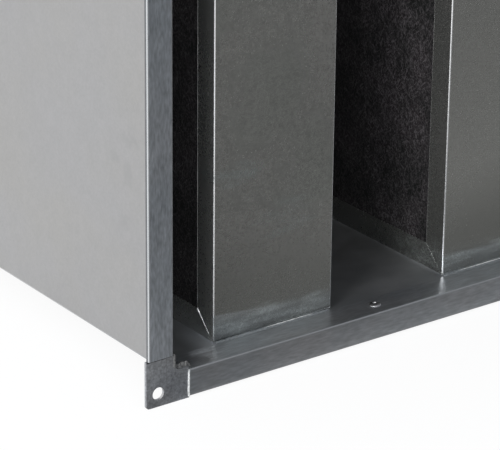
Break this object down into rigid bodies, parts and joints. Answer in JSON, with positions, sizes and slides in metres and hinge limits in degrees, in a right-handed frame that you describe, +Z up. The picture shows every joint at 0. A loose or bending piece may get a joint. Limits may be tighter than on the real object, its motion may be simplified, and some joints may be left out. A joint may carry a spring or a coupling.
{
  "type": "rectangular duct sound attenuator",
  "caption": "Rectangular splitter duct silencer: galvanised sheet casing with bolting frames at both ends and upright mineral-wool baffles faced with black glass fleece.",
  "frame": {"origin": "middle of the duct axis, halfway between the two flange faces", "axes": "+Y along the air flow from the front flange to the rear one, +Z up, +X to the right seen from the front"},
  "size_m": [0.642, 0.95, 0.392],
  "materials": {
    "casing_sheet": "satin",
    "flange_profile": "satin",
    "corner_plate": "matte",
    "baffle_frame": "satin",
    "rivets": "satin",
    "glass_fleece": "matte",
    "mineral_wool": "matte",
    "sealant": "matte"
  },
  "bodies": {
    "root": {"baffle_1_ceiling_rail": "baffle_frame", "baffle_1_core": "mineral_wool", "baffle_1_floor_rail": "baffle_frame", "baffle_1_front_channel": "baffle_frame", "baffle_1_left_facing": "glass_fleece", "baffle_1_rear_channel": "baffle_frame", "baffle_1_right_facing": "glass_fleece", "baffle_2_ceiling_rail": "baffle_frame", "baffle_2_core": "mineral_wool", "baffle_2_floor_rail": "baffle_frame", "baffle_2_front_channel": "baffle_frame", "baffle_2_left_facing": "glass_fleece", "baffle_2_rear_channel": "baffle_frame", "baffle_2_right_facing": "glass_fleece", "baffle_3_ceiling_rail": "baffle_frame", "baffle_3_core": "mineral_wool", "baffle_3_floor_rail": "baffle_frame", "baffle_3_front_channel": "baffle_frame", "baffle_3_left_facing": "glass_fleece", "baffle_3_rear_channel": "baffle_frame", "baffle_3_right_facing": "glass_fleece", "casing_left_and_floor": "casing_sheet", "casing_right_and_ceiling": "casing_sheet", "ceiling_baffle_rivets": "rivets", "floor_baffle_rivets": "rivets", "front_corner_bottom_left": "corner_plate", "front_corner_bottom_right": "corner_plate", "front_corner_sealant": "sealant", "front_corner_top_left": "corner_plate", "front_corner_top_right": "corner_plate", "front_flange_bottom": "flange_profile", "front_flange_left": "flange_profile", "front_flange_right": "flange_profile", "front_flange_rivets": "rivets", "front_flange_top": "flange_profile", "rear_corner_bottom_left": "corner_plate", "rear_corner_bottom_right": "corner_plate", "rear_corner_sealant": "sealant", "rear_corner_top_left": "corner_plate", "rear_corner_top_right": "corner_plate", "rear_flange_bottom": "flange_profile", "rear_flange_left": "flange_profile", "rear_flange_right": "flange_profile", "rear_flange_rivets": "rivets", "rear_flange_top": "flange_profile"}
  },
  "joints": []
}
